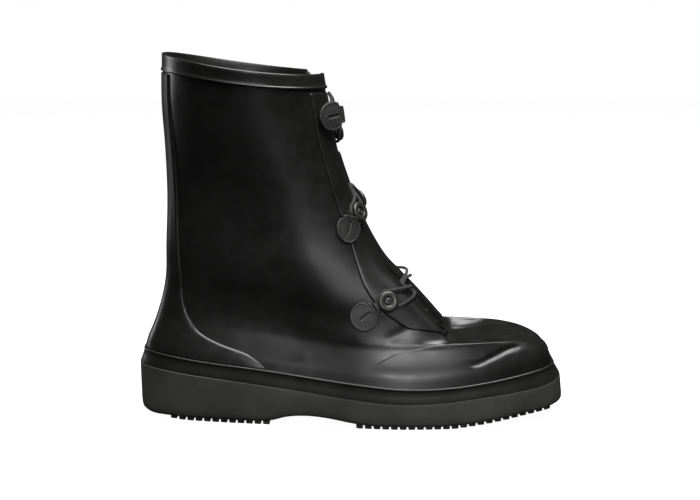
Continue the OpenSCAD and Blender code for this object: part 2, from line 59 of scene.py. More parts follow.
# ---- the boot's surface ----
BACK = [
    (0, -158, 54), (0.06, -155.5, 62), (0.12, -151.5, 71), (0.2, -147, 83),
    (0.28, -143.5, 95), (0.36, -141, 108), (0.5, -140, 134), (0.65, -138.5, 170),
    (0.8, -139.5, 208), (0.92, -141.5, 245), (1, -141, 277),
]
RIDGE = [
    (0, 153.7, -1.5, 43.7), (0.03, 152.5, -2, 50), (0.06, 148, -3, 55.5),
    (0.09, 139.5, -5, 60), (0.13, 126, -11, 62), (0.17, 112, -18, 60.5),
    (0.21, 98, -22.5, 57.5), (0.25, 86, -24, 54.8), (0.28, 78, -23.5, 55.5),
    (0.31, 71, -22, 61.5), (0.35, 62, -19.5, 72), (0.4, 51, -16, 84.5),
    (0.46, 39, -12, 97), (0.53, 25.5, -9, 111), (0.6, 14, -7.5, 130),
    (0.68, 4.5, -7, 152), (0.76, -4.5, -7, 178), (0.84, -12, -7, 205),
    (0.92, -16.8, -7, 234), (1, -21.5, -8, 262),
]
PLAN = [(0, 36), (0.2, 41), (0.4, 46.5), (0.62, 56.4), (0.8, 56), (1, 50)]
FOX_TOP = [
    (-158, 54), (-122, 49), (-70, 44), (0, 35.7), (45, 32.3), (75, 33),
    (101, 35.8), (130, 40), (153.7, 43.7),
]
FOX_LOW = [
    (-161.6, 42.5), (-125, 37.7), (-93, 34.5), (-48, 29.4), (0, 23.2), (40, 20.3),
    (68, 21.4), (101, 24.5), (124, 26.7), (149, 30.3), (159, 33.6),
]
UNDER = [
    (-163, 7), (-155, 3.8), (-140, 2.6), (-126, 2.1), (-110, 2.1), (-76, 2.1), (-68, 2.3),
    (-60, 3.2), (-50, 6.2), (-35, 7.8), (-19, 6.8), (0, 3.8), (11, 2.5), (37, 2.1),
    (75, 2.4), (90, 3.5), (112, 6.3), (131, 9.2), (150, 11.6), (163, 15),
]
TREAD = [
    (-140, 1.2), (-126, 0), (-110, 0), (60, 0), (75, 0), (90, 1.5), (112, 4.3),
    (131, 7.3), (157, 10),
]
DIP = [
    (0, 0.3), (0.06, 1.2), (0.12, 2), (0.17, 1), (0.21, -0.5), (0.25, -3),
    (0.285, -7), (0.33, -12), (0.4, -14), (0.5, -12), (0.7, -10), (1, -8),
]
SEAM = [
    (0.5, 0.02), (0.535, 0.058), (0.583, 0.113), (0.61, 0.14), (0.662, 0.17),
    (0.7, 0.19), (0.8, 0.225), (0.9, 0.26), (1, 0.285),
]
WAIST = [
    (0, 0), (0.04, 2), (0.08, 5.5), (0.12, 8.5), (0.16, 11), (0.2, 12.5), (0.26, 13.8),
    (0.32, 14), (0.4, 12.2), (0.5, 11.6), (0.6, 12), (0.7, 11), (0.85, 6), (1, 0),
]
BEND = [
    (0, 0.54), (0.16, 0.586), (0.3, 0.606), (0.44, 0.628), (0.58, 0.632),
    (0.72, 0.624), (0.86, 0.603), (1, 0.558),
]
STAY = [
    (0.295, 0.755), (0.35, 0.7), (0.445, 0.688), (0.54, 0.72), (0.6, 0.74),
    (0.68, 0.753), (0.8, 0.77), (1, 0.8),
]
COUNTER = [
    (0, 0.37), (0.035, 0.352), (0.06, 0.333), (0.08, 0.295), (0.12, 0.242),
    (0.175, 0.212), (0.28, 0.18), (0.4, 0.168), (0.52, 0.165), (1, 0.165),
]
FAR_END = [(0, 1), (0.86, 1), (0.92, 0.96), (0.96, 0.87), (1, 0.79)]


def curve(knots, t):
    """The smooth curve through rows of (parameter, value, ...), as in the CAD model."""
    k = np.array(knots, float)
    x, v = k[:, 0], k[:, 1:]
    t = np.clip(np.asarray(t, float), x[0], x[-1])
    step = np.diff(x)[:, None]
    rate = np.diff(v, axis=0) / step
    m = np.empty_like(v)
    m[0], m[-1] = rate[0], rate[-1]
    m[1:-1] = (rate[:-1] * step[1:] + rate[1:] * step[:-1]) / (step[:-1] + step[1:])
    i = np.clip(np.searchsorted(x, t, side="right") - 1, 0, len(x) - 2)
    h = (x[i + 1] - x[i])[..., None]
    s = (t - x[i])[..., None] / h
    out = v[i] * (2 * s**3 - 3 * s**2 + 1) + m[i] * h * (s**3 - 2 * s**2 + s)
    out = out + v[i + 1] * (3 * s**2 - 2 * s**3) + m[i + 1] * h * (s**3 - s**2)
    return out[..., 0] if out.shape[-1] == 1 else out


def vec(*parts):
    return np.stack(np.broadcast_arrays(*parts), -1).astype(float)


def unit(v):
    return v / np.maximum(np.linalg.norm(v, axis=-1, keepdims=True), 1e-9)


def ramp(x, a, b):
    """0 before a, 1 after b, smooth between."""
    t = np.clip((np.asarray(x, float) - a) / (b - a), 0, 1)
    return t * t * (3 - 2 * t)


def bump(x, centre, width):
    return np.exp(-(((x - centre) / width) ** 2))


def near_s(u, v):
    """Near side of the upper: u 0 at the back to 1 at the front ridge, v 0 to 1 upward."""
    u, v = np.broadcast_arrays(np.asarray(u, float), np.asarray(v, float))
    q = (1 - np.cos(np.pi * u)) / 2
    sine = np.clip(np.sin(np.pi * u), 0, 1)
    x = -158 + 311.7 * q
    foot = vec(x, -curve(PLAN, q) * sine**0.45, curve(FOX_TOP, x))
    rim = vec(-141 + 119.5 * q, -(54 * sine**0.9 + 8 * q**4), 262 + 15 * (1 - q) ** 1.7)
    w = v[..., None]
    back = curve(BACK, v)
    ridge = curve(RIDGE, v)
    start = np.array([-158, 0, 54.0]) * (1 - w) + np.array([-141, 0, 277.0]) * w
    end = np.array([153.7, 0, 43.7]) * (1 - w) + np.array([-21.5, -8, 262.0]) * w
    p = foot * (1 - w) + rim * w
    p = p + (1 - u[..., None]) ** 1.3 * (vec(back[..., 0], 0, back[..., 1]) - start)
    p = p + vec(u**1.7, u**3.5, u**1.7) * (ridge - end)
    full = 3 * (v / 0.16) * np.exp(1 - v / 0.16) * ramp(u, 0.35, 0.75) * (1 - u**7)
    waist = curve(WAIST, v) * sine**1.3
    return p + vec(0 * u, waist - 0.4 * full, 0.8 * full)


def near_n(u, v):
    u, v = np.broadcast_arrays(np.asarray(u, float), np.asarray(v, float))
    e = 0.004
    du = near_s(np.minimum(u + e, 1), v) - near_s(np.maximum(u - e, 0), v)
    dv = near_s(u, np.minimum(v + e, 1)) - near_s(u, np.maximum(v - e, 0))
    n = np.cross(du, dv)
    n[..., 1] = np.where(u < 0.001, 0, n[..., 1])
    return unit(n)


def side_pt(u, v, d, far=False):
    """A point at height d over the near side, or over the far one, which mirrors it."""
    u, v, d = np.broadcast_arrays(*[np.asarray(a, float) for a in (u, v, d)])
    c = np.minimum(v, 1)
    rise = unit(near_s(u, 1) - near_s(u, 0.97))
    p = near_s(u, c) + near_n(u, c) * d[..., None] + rise * ((v - c) * 222)[..., None]
    return p * np.array([1, -1, 1]) if far else p


def front_n(v):
    v = np.asarray(v, float)
    t = near_s(1, np.minimum(v + 0.01, 1)) - near_s(1, np.maximum(v - 0.01, 0))
    return unit(vec(t[..., 2], 0, -t[..., 0]))


def front_pt(c, v, d, tuck=0.0):
    """Across the front: c 1 at the near ridge to -1 at the far one."""
    c, v, d = np.broadcast_arrays(*[np.asarray(a, float) for a in (c, v, d)])
    ridge = near_s(1, v)
    n = front_n(v)
    e = near_n(1, v)
    s = np.abs(c)
    m = unit(n + (e * vec(1, np.sign(c), 1) - n) * (s**2)[..., None])
    sink = curve(DIP, v) * (1 - s**1.5) - (1.2 if tuck else 0)
    return (
        vec(ridge[..., 0], c * (ridge[..., 1] + tuck), ridge[..., 2])
        + n * sink[..., None]
        + m * d[..., None]
    )


def round_pt(w, v, d):
    """The whole way round: w 0 to 1 near, 1 to 2 across the front, 2 to 3 far."""
    w, v, d = np.broadcast_arrays(*[np.asarray(a, float) for a in (w, v, d)])
    near = side_pt(np.clip(w, 0, 1), v, d)
    front = front_pt(np.clip(3 - 2 * w, -1, 1), v, d)
    far = side_pt(np.clip(3 - w, 0, 1), v, d, far=True)
    k = w[..., None]
    return np.where(k <= 1, near, np.where(k < 2, front, far))


def sole_pt(k, t, d):
    """Side of the sole: k 0 to 1 near heel to toe, 1 to 2 back on the far side; t 0 at the
    upper edge of the foxing, 1 at its lower edge and 2 at the underside."""

    def raw(k, t):
        s = np.where(k <= 1, k, 2 - k)
        q = (1 - np.cos(np.pi * s)) / 2
        low = t >= 1
        x0 = np.where(low, -161.6 + 1.1 * (t - 1), -158 - 3.6 * t)
        x1 = np.where(low, 159 + 1.5 * (t - 1), 153.7 + 5.3 * t)
        x = x0 + (x1 - x0) * q
        w = curve(PLAN, q) + np.where(low, 0.6 - 1.6 * (t - 1), 0.6 * t)
        z0, z1, z2 = curve(FOX_TOP, x), curve(FOX_LOW, x), curve(UNDER, x)
        z = np.where(low, z1 + (z2 - z1) * (t - 1), z0 + (z1 - z0) * t)
        y = np.where(k <= 1, -1, 1) * w * np.clip(np.sin(np.pi * s), 0, 1) ** 0.45
        return vec(x, y, z)

    k, t, d = np.broadcast_arrays(*[np.asarray(a, float) for a in (k, t, d)])
    e = 0.006
    step = raw((k + e) % 2, 1 + 0 * t) - raw((k - e) % 2, 1 + 0 * t)
    n = unit(vec(step[..., 1], -step[..., 0], 0))
    return raw(k, t) + n * d[..., None]


def half_w(x):
    q = np.clip((x + 160.5) / 321, 0.001, 0.999)
    return (curve(PLAN, q) - 1) * np.sin(np.arccos(1 - 2 * q)) ** 0.45


# ---- meshes ----
def put(name, verts, faces, mats, index=None, sharp=35):
    """A mesh object from points in millimetres; faces are lists of point numbers."""
    mesh = bpy.data.meshes.new(name)
    mesh.from_pydata((np.asarray(verts, float) * MM).tolist(), [], faces)
    for m in mats:
        mesh.materials.append(m)
    if index is not None:
        mesh.polygons.foreach_set("material_index", np.asarray(index, np.int32))
    mesh.validate()
    mesh.shade_smooth()
    mesh.set_sharp_from_angle(angle=math.radians(sharp))
    obj = bpy.data.objects.new(name, mesh)
    bpy.context.scene.collection.objects.link(obj)
    return obj


def grid_faces(rows, cols, offset=0, wrap_rows=False, wrap_cols=False, turn=False):
    faces = []
    for j in range(rows if wrap_rows else rows - 1):
        for i in range(cols if wrap_cols else cols - 1):
            a = offset + j * cols + i
            b = offset + j * cols + (i + 1) % cols
            c = offset + ((j + 1) % rows) * cols + (i + 1) % cols
            d = offset + ((j + 1) % rows) * cols + i
            faces.append((a, d, c, b) if turn else (a, b, c, d))
    return faces


def skin(name, outer, inner, mats, sharp=35):
    """A closed skin between two grids of points, with the second material inside."""
    rows, cols = outer.shape[:2]
    size = rows * cols
    verts = np.concatenate([outer.reshape(-1, 3), inner.reshape(-1, 3)])
    faces = grid_faces(rows, cols)
    index = [0] * len(faces)
    lining = grid_faces(rows, cols, size, turn=True)
    faces += lining
    index += [1 if len(mats) > 1 else 0] * len(lining)
    edge = [(0, i) for i in range(cols)]
    edge += [(j, cols - 1) for j in range(1, rows)]
    edge += [(rows - 1, i) for i in range(cols - 2, -1, -1)]
    edge += [(j, 0) for j in range(rows - 2, 0, -1)]
    ids = [j * cols + i for j, i in edge]
    for a, b in zip(ids, ids[1:] + ids[:1]):
        faces.append((b, a, a + size, b + size))
        index.append(0)
    return put(name, verts, faces, mats, index, sharp)


def edge_spread(count, near_edges=0.02):
    """Shares 0 to 1 with extra ones close to both ends, for rounded edges."""
    ends = np.array([0, 0.12, 0.3, 0.6, 1]) * near_edges
    return np.concatenate([ends, np.linspace(near_edges, 1 - near_edges, count)[1:-1], 1 - ends[::-1]])


def sweep(name, rings, mats, closed=False, sharp=50):
    """A tube through rings of points, capped at its ends if it isn't closed."""
    n, m = len(rings), len(rings[0])
    faces = grid_faces(n, m, wrap_rows=closed, wrap_cols=True, turn=True)
    if not closed:
        faces.append(tuple(range(m)))
        faces.append(tuple((n - 1) * m + i for i in range(m - 1, -1, -1)))
    return put(name, np.concatenate(rings), faces, mats, sharp=sharp)


def tube(name, path, radius, mats, sides=14, closed=False):
    """A round cord along points, with frames carried along it so that it never twists."""
    path = np.asarray(path, float)
    n = len(path)
    if closed:
        tangent = unit(np.roll(path, -1, 0) - np.roll(path, 1, 0))
    else:
        tangent = unit(np.gradient(path, axis=0))
    up = unit(np.cross(tangent[0], [0.3, 0.2, 0.93]))
    rings = []
    turn = np.linspace(0, 2 * np.pi, sides, endpoint=False)
    r = np.broadcast_to(np.asarray(radius, float), (n,))
    for i in range(n):
        up = unit(up - tangent[i] * (up @ tangent[i]))
        side = np.cross(tangent[i], up)
        rings.append(path[i] + r[i] * (np.cos(turn)[:, None] * up + np.sin(turn)[:, None] * side))
    return sweep(name, rings, mats, closed=closed, sharp=60)


def smooth_path(points, count):
    """Evenly parametrised points on a smooth curve through a few given ones."""
    points = np.asarray(points, float)
    gaps = np.linalg.norm(np.diff(points, axis=0), axis=1)
    along = np.concatenate([[0], np.cumsum(gaps)])
    knots = [(a, *p) for a, p in zip(along, points)]
    return curve(knots, np.linspace(0, along[-1], count))


def lathe(profile, place, name, mats, sides=56):
    """A round piece: (radius, height) rows turned about the local axis of a fastener."""
    origin, t, b, n = place
    turn = np.linspace(0, 2 * np.pi, sides, endpoint=False)
    rings = [
        origin + r * (np.cos(turn)[:, None] * t + np.sin(turn)[:, None] * b) + n * h
        for r, h in profile
    ]
    return sweep(name, rings, mats, sharp=40)


# ---- materials ----
def material(name, colour, roughness, **look):
    """A procedural material: mottled colour and roughness, two scales of grain, soft dents."""
    m = bpy.data.materials.new(name)
    m.use_nodes = True
    t = m.node_tree
    t.nodes.clear()
    out = t.nodes.new("ShaderNodeOutputMaterial")
    s = t.nodes.new("ShaderNodeBsdfPrincipled")
    t.links.new(s.outputs[0], out.inputs[0])
    s.inputs["Specular IOR Level"].default_value = look.get("specular", 0.5)
    if look.get("coat"):
        s.inputs["Coat Weight"].default_value = look["coat"]
        s.inputs["Coat Roughness"].default_value = look.get("coat_rough", 0.2)
    if look.get("sheen"):
        s.inputs["Sheen Weight"].default_value = look["sheen"]
        s.inputs["Sheen Roughness"].default_value = 0.5
    where = t.nodes.new("ShaderNodeTexCoord").outputs["Object"]

    def noise(scale, detail=3.0):
        n = t.nodes.new("ShaderNodeTexNoise")
        n.inputs["Scale"].default_value = scale
        n.inputs["Detail"].default_value = detail
        t.links.new(where, n.inputs["Vector"])
        return n.outputs["Fac"]

    def ramp_node(source, rows):
        r = t.nodes.new("ShaderNodeValToRGB")
        r.color_ramp.elements[0].position = rows[0][0]
        r.color_ramp.elements[1].position = rows[-1][0]
        for position, value in rows[1:-1]:
            r.color_ramp.elements.new(position)
        for e, (position, value) in zip(r.color_ramp.elements, rows):
            e.color = (*value, 1)
        t.links.new(source, r.inputs["Fac"])
        return r.outputs["Color"]

    mottle = look.get("mottle", 0.25)
    low = tuple(c * (1 - mottle) for c in colour)
    high = tuple(c * (1 + mottle) for c in colour)
    blotch = noise(look.get("blotch", 28.0), 4.0)
    t.links.new(ramp_node(blotch, [(0.3, low), (0.7, high)]), s.inputs["Base Color"])
    spread = look.get("rough_spread", 0.06)
    rough = ramp_node(
        noise(look.get("rough_scale", 90.0), 5.0),
        [(0.3, (roughness - spread,) * 3), (0.7, (roughness + spread,) * 3)],
    )
    t.links.new(rough, s.inputs["Roughness"])

    last = None

    def bumped(source, distance, strength=1.0):
        nonlocal last
        b = t.nodes.new("ShaderNodeBump")
        b.inputs["Strength"].default_value = strength
        b.inputs["Distance"].default_value = distance * MM
        t.links.new(source, b.inputs["Height"])
        if last is not None:
            t.links.new(last, b.inputs["Normal"])
        last = b.outputs["Normal"]

    if look.get("dents"):
        bumped(noise(look.get("dent_scale", 22.0), 1.0), look["dents"])
    if look.get("cells"):
        v = t.nodes.new("ShaderNodeTexVoronoi")
        v.feature = "DISTANCE_TO_EDGE"
        v.inputs["Scale"].default_value = look["cell_scale"]
        t.links.new(where, v.inputs["Vector"])
        groove = ramp_node(v.outputs["Distance"], [(0.0, (0, 0, 0)), (0.22, (1, 1, 1))])
        bumped(groove, look["cells"])
    if look.get("weave"):
        for direction, scale in (("DIAGONAL", look["weave_scale"]), ("Z", look["weave_scale"])):
            w = t.nodes.new("ShaderNodeTexWave")
            w.bands_direction = direction
            w.inputs["Scale"].default_value = scale
            w.inputs["Distortion"].default_value = 1.5
            t.links.new(where, w.inputs["Vector"])
            bumped(w.outputs["Fac"], look["weave"])
    bumped(noise(look.get("grain_scale", 900.0), 3.0), look.get("grain", 0.03))
    t.links.new(last, s.inputs["Normal"])
    return m


UPPER = material(
    "rubber_upper", (0.0045, 0.0045, 0.0042), 0.34, specular=0.44, dents=0.4, dent_scale=18.0,
    grain=0.02, grain_scale=1400.0, coat=0.06, coat_rough=0.3, mottle=0.2,
)
TRIM = material(
    "rubber_trim", (0.006, 0.006, 0.0056), 0.34, specular=0.45, dents=0.12, dent_scale=40.0,
    grain=0.02, grain_scale=1400.0, coat=0.1, coat_rough=0.28,
)
SOLE = material(
    "rubber_sole", (0.032, 0.032, 0.0305), 0.5, specular=0.4, dents=0.15, dent_scale=60.0,
    grain=0.05, grain_scale=1100.0, mottle=0.3, rough_spread=0.09,
)
FOX = material(
    "rubber_foxing", (0.0075, 0.0075, 0.007), 0.4, specular=0.42, dents=0.2, dent_scale=35.0,
    grain=0.035, grain_scale=1200.0, mottle=0.25,
)
LINING = material(
    "knit_lining", (0.016, 0.0155, 0.015), 0.85, specular=0.2, sheen=0.15, weave=0.12,
    weave_scale=260.0, grain=0.08,
)
BUTTON = material(
    "moulded_button", (0.013, 0.013, 0.0122), 0.36, specular=0.5, grain=0.012, mottle=0.2,
    dents=0.05, dent_scale=120.0,
)
RIVET = material("rivet_black", (0.01, 0.01, 0.01), 0.28, specular=0.6, grain=0.01)
CORD = material(
    "braided_cord", (0.007, 0.007, 0.0066), 0.6, specular=0.35, weave=0.2, weave_scale=420.0,
    sheen=0.1, grain=0.05,
)
TAB = material(
    "grained_tab", (0.009, 0.009, 0.0085), 0.5, specular=0.42, cells=0.16, cell_scale=900.0,
    grain=0.05, mottle=0.35, blotch=120.0,
)

# ---- the flap's hinge axis, and the pieces beside it, baked in place ----
FLAP_AXIS = unit(np.array([84.0, -1.0, -216.5]))


def metres(p):
    return tuple(float(c) * MM for c in p)


def bend_behind(obj):
    """Works out the forward direction from the hinge line, then bakes the object's placement into its
    mesh.
    """
    forward = unit(np.cross(np.array([0.0, -1.0, 0.0]), FLAP_AXIS))
    forward = forward * np.sign(forward[0])
    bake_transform(obj)


# the flap's foot on the vamp, and the direction up from it
FOOT = np.array([30.0, -57.0, 62.0])
TOE_END = np.array([78.0, -24.0, 56.0])
FOOT_UP = unit(np.cross(np.cross(TOE_END - FOOT, [0, 0, 1.0]), TOE_END - FOOT))
FOOT_UP = FOOT_UP * np.sign(FOOT_UP[2])


def bend_foot(obj):
    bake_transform(obj)


# ---- creases, in millimetres of depth, over the surface ----
def along(points, p, width, depth, taper=12.0):
    """A crease of that depth and width along a line of points, read in X and Z."""
    line = smooth_path([(x, 0, z) for x, z in points], 40)[:, [0, 2]]
    q = p[..., [0, 2]]
    best = np.full(q.shape[:-1], 1e9)
    where = np.zeros(q.shape[:-1])
    for i, c in enumerate(line):
        gap = np.linalg.norm(q - c, axis=-1)
        closer = gap < best
        best = np.where(closer, gap, best)
        where = np.where(closer, i / (len(line) - 1), where)
    length = np.sum(np.linalg.norm(np.diff(line, axis=0), axis=1))
    ends = ramp(np.minimum(where, 1 - where) * length, 0, taper)
    return depth * np.exp(-((best / width) ** 2)) * ends


def relief(u, v, far=False):
    """Small unevenness of the rubber, outward positive."""
    p = near_s(u, np.minimum(v, 1))
    d = 0.35 * np.sin(p[..., 0] / 23 + p[..., 2] / 41) * np.sin(p[..., 2] / 29 + 0.7)
    d = d * ramp(v, 0.04, 0.2) * ramp(1 - v, 0.02, 0.12) * ramp(u, 0.03, 0.15)
    if not far:
        d = d - along([(80, 57), (66, 47), (48, 43), (30, 44)], p, 3.0, 0.5)
        d = d - along([(54, 84), (40, 74), (22, 66)], p, 4.0, 0.6)
    return d * ramp(1 - u, 0.0, 0.08)


def sides(u, v, far=False):
    return side_pt(u, v, relief(u, v, far), far), side_pt(u, v, -WALL, far)


def seam_v(u, gap):
    return np.where(u < 0.4999, 0, curve(SEAM, u) + gap)


def bend_u(b):
    return curve(BEND, b)


# ---- upper ----
def build_quarter():
    b = np.linspace(0, 1, 120)[:, None]
    c = np.concatenate([np.linspace(0, 1, 24) ** 2 * 0.12, np.linspace(0.12, 1, 78)[1:]])
    c = np.sort(np.append(c, [0.5 / 0.54, 0.4995 / 0.54]))[None, :]
    u = c * bend_u(b)
    v = seam_v(c * 0.54 + 0 * b, 0.0) * (1 - b) + 0.998 * b
    obj = skin("near_quarter_skin", *sides(u, v), [UPPER, LINING])
    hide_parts("near_quarter")
    bend_behind(obj)


def build_far():
    b = np.linspace(0, 1, 120)[:, None]
    c = np.concatenate([np.linspace(0, 1, 24) ** 2 * 0.1, np.linspace(0.1, 1, 140)[1:]])
    c = np.sort(np.append(c, [0.4995, 0.5]))[::-1][None, :]
    v = seam_v(c + 0 * b, 0.0) * (1 - b) + 0.998 * b
    u = c * curve(FAR_END, v)
    obj = skin("far_quarter_skin", *sides(u, v, far=True), [UPPER, LINING])
    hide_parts("far_quarter")
    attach(obj, "upper")


def build_flap():
    b = np.linspace(0, 1, 120)[:, None]
    c = np.linspace(0, 1, 70)[None, :]
    u = bend_u(b) * (1 - c) + c
    v = seam_v(0.54 * (1 - c) + c + 0 * b, 0.0) * (1 - b) + 0.998 * b
    obj = skin("near_flap_skin", *sides(u, v), [UPPER, LINING])
    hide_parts("near_flap")
    bend_foot(obj)


def build_vamp():
    near = np.linspace(0.5, 1, 84)
    front = np.linspace(1, 2, 44)[1:-1]
    w = np.concatenate([near, front, 3 - near[::-1]])[None, :]
    u = np.where(w <= 1, w, np.where(w < 2, 1, 3 - w))
    share = np.concatenate([np.linspace(0, 0.97, 56), [0.98, 0.987, 0.993, 1]])[:, None]
    v = share * curve(SEAM, u)
    p = round_pt(w, v, 0)
    flank = np.where((w > 0.97) & (w < 2.03), 0, 1)
    d = 0.35 * ramp(1 - share, 0, 0.05) * flank
    d = d - along([(82, 52), (92, 49), (104, 53), (120, 59), (132, 60)], p, 2.2, 1.1) * (p[..., 1] < -12)
    d = d - along([(84, 57), (98, 60), (112, 62)], p, 2.6, 0.8) * (p[..., 1] > 8)
    d = np.where(share < 0.995, d, 0)
    outer = round_pt(w, v, d)
    obj = skin("vamp_skin", outer, round_pt(w, v, -WALL), [UPPER, LINING])
    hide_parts("vamp")
    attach(obj, "upper")


def build_counter():
    v = (0.004 + 0.962 * edge_spread(110, 0.006))[:, None]
    side = edge_spread(76, 0.03)
    side = side[None, :] * 2 - 1
    side = np.sign(side) * np.abs(side) ** 1.25
    u = side * curve(COUNTER, v)
    rim = np.clip((1 - np.abs(side)) / 0.1, 0, 1)
    top = 1.3 * np.sqrt(np.clip(1 - (1 - rim) ** 2, 0, 1)) + 0.05
    top = top + 0.35 * bump(np.abs(side), 0.9, 0.05) * ramp(v, 0.3, 0.45)
    outer = np.where(
        (u >= 0)[..., None], side_pt(np.abs(u), v, top), side_pt(np.abs(u), v, top, far=True)
    )
    base = -0.3 + 0 * u
    inner = np.where(
        (u >= 0)[..., None], side_pt(np.abs(u), v, base), side_pt(np.abs(u), v, base, far=True)
    )
    obj = skin("heel_counter_patch", outer[:, ::-1], inner[:, ::-1], [UPPER], sharp=60)
    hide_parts("heel_counter")
    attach(obj, "upper")


def build_stay(far):
    low, high = (0.302, 0.82) if far else (0.312, 0.962)
    v = (low + (high - low) * edge_spread(80, 0.012))[:, None]
    a = edge_spread(30, 0.05)[None, :]
    u = curve(STAY, v) * (1 - a) + 0.985 * a
    fall = np.clip(a / 0.05, 0, 1)
    top = 0.1 + 0.9 * np.sqrt(np.clip(1 - (1 - fall) ** 2, 0, 1)) + 0 * v
    ends = np.clip(np.minimum(v - low, high - v) / 0.006, 0, 1)
    top = top * np.sqrt(np.clip(1 - (1 - ends) ** 2, 0, 1)) + 0.05
    outer = side_pt(u, v, top, far)
    inner = side_pt(u, v, -0.3, far)
    if far:
        outer, inner = outer[:, ::-1], inner[:, ::-1]
    name = "far_facing_strip" if far else "near_facing_strip"
    obj = skin(name, outer, inner, [UPPER], sharp=60)
    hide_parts("far_facing" if far else "near_facing")
    if far:
        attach(obj, "upper")
    else:
        bend_foot(obj)


def build_gusset():
    """The bellows in two lengths, which meet at one height."""
    c = np.linspace(1, -1, 49)[None, :]
    fold = 0.9 * np.cos(c * np.pi * 2.5) * (1 - c**2)
    for name, v0, v1 in (("gusset_low", 0.29, 0.4), ("gusset_high", 0.4, 0.93)):
        v = np.linspace(v0, v1, 30 if v1 < 0.5 else 80)[:, None]
        deep = fold * ramp(v, 0.3, 0.4) * ramp(0.95 - v, 0, 0.1)
        outer = front_pt(c, v, deep, 2.6)
        inner = front_pt(c, v, deep - 1.2, 2.6)
        obj = skin(name, outer, inner, [TRIM, LINING])
        if v1 < 0.5:
            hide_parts("gusset")
            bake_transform(obj)
        else:
            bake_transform(obj)


BIND = [
    (1.0, -2.3), (0.985, -2.3), (0.9705, -2.2), (0.969, -1.6), (0.969, 0.2), (0.9695, 1.2),
    (0.971, 1.65), (0.9727, 1.75), (0.9742, 1.55), (0.9755, 1.1), (0.98, 0.95), (0.995, 0.95),
    (1.001, 1.05), (1.0035, 0.7), (1.0045, 0.1), (1.0045, -1.2), (1.003, -2.1),
]


def build_binding(name, node, body, w0, w1, count):
    w = np.linspace(w0, w1, count)
    rings = []
    v = np.array([b[0] for b in BIND])
    d = np.array([b[1] for b in BIND])
    for x in w:
        rings.append(side_pt(np.full(v.shape, abs(x)), v, d, far=x < 0))
    obj = sweep(name, rings, [TRIM], sharp=40)
    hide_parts(node)
    if body == "near_flap":
        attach(obj, body)
    else:
        bend_behind(obj)


# ---- sole ----
def build_sole():
    k = np.linspace(0, 2, 300, endpoint=False)
    k = np.floor(k) + (k % 1) * 0.3 + 0.7 * (1 - np.cos(np.pi * (k % 1))) / 2
    wall = [
        (2, -6), (1.99, -2.4), (1.975, 0.9), (1.955, 1.7), (1.9, 2.2), (1.8, 2.4), (1.5, 2.25),
        (1.2, 2.1), (1.06, 2.0), (1.02, 1.9), (1.01, 1.5), (1.01, 0.1), (0.04, 0.1), (0.03, -2.8),
        (1.02, -2.8),
    ]
    rings = []
    for t, d in wall:
        rings.append(sole_pt(k, np.full(k.shape, t), np.full(k.shape, d)))
    rings[0][:, 2] = curve(UNDER, rings[0][:, 0])
    rings[1][:, 2] = curve(UNDER, rings[1][:, 0])
    floor = sole_pt(k, np.full(k.shape, 1.5), np.full(k.shape, -3.2))
    floor[:, 2] = curve(UNDER, floor[:, 0]) + 4.2
    rings.append(floor)
    n, m = len(rings), len(k)
    faces = grid_faces(n, m, wrap_cols=True, turn=True)
    half = m // 2
    for base, flip in ((0, False), ((n - 1) * m, True)):
        for i in range(half):
            quad = [base + i, base + i + 1, base + (m - i - 1) % m, base + (m - i) % m]
            quad = list(dict.fromkeys(quad))
            if len(quad) > 2:
                faces.append(tuple(quad[::-1] if flip else quad))
    obj = put("outsole_cup", np.concatenate(rings), faces, [SOLE], sharp=40)
    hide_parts("outsole")
    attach(obj, "upper")

    band = [
        (1.0, 0.0), (1.0, 1.5), (0.985, 1.75), (0.96, 1.8), (0.6, 1.55), (0.22, 1.4), (0.18, 1.55),
        (0.14, 1.95), (0.09, 2.1), (0.04, 2.0), (0.015, 1.6), (0.01, 0.9), (0.01, 0.0),
    ]
    rings = [sole_pt(k, np.full(k.shape, t), np.full(k.shape, d)) for t, d in band]
    faces = grid_faces(len(rings), m, wrap_rows=True, wrap_cols=True, turn=True)
    obj = put("foxing_strip", np.concatenate(rings), faces, [FOX], sharp=45)
    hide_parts("foxing_band")
    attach(obj, "upper")


def build_tread(name, node, x0, x1):
    """Cross lugs with small chamfers, in two rows with a gap down the middle."""
    verts, faces = [], []
    for x in np.arange(x0, x1, LUG_PITCH):
        z0 = max(float(curve(TREAD, x)), 0)
        z1 = float(min(curve(UNDER, x - LUG_HALF), curve(UNDER, x + LUG_HALF))) + 0.3
        for s in (-1, 1):
            base = len(verts)
            for z, inset in ((z1, 0.0), (z0 + 0.9, 0.05), (z0 + 0.25, 0.45), (z0, 0.95)):
                for dx, end in ((-LUG_HALF, 0), (LUG_HALF, 0), (LUG_HALF, 1), (-LUG_HALF, 1)):
                    px = x + dx - np.sign(dx) * inset
                    y = 1.5 + inset if end == 0 else float(half_w(x + dx)) + 0.4 - inset
                    verts.append((px, s * y, z))
            for j in range(3):
                for i in range(4):
                    a, b = base + 4 * j + i, base + 4 * j + (i + 1) % 4
                    quad = (a, b, b + 4, a + 4)
                    faces.append(quad if s < 0 else quad[::-1])
            top = tuple(base + i for i in range(4))
            low = tuple(base + 12 + i for i in range(4))
            faces.append(top[::-1] if s < 0 else top)
            faces.append(low if s < 0 else low[::-1])
    obj = put(name, verts, faces, [SOLE], sharp=20)
    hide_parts(node)
    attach(obj, "upper")


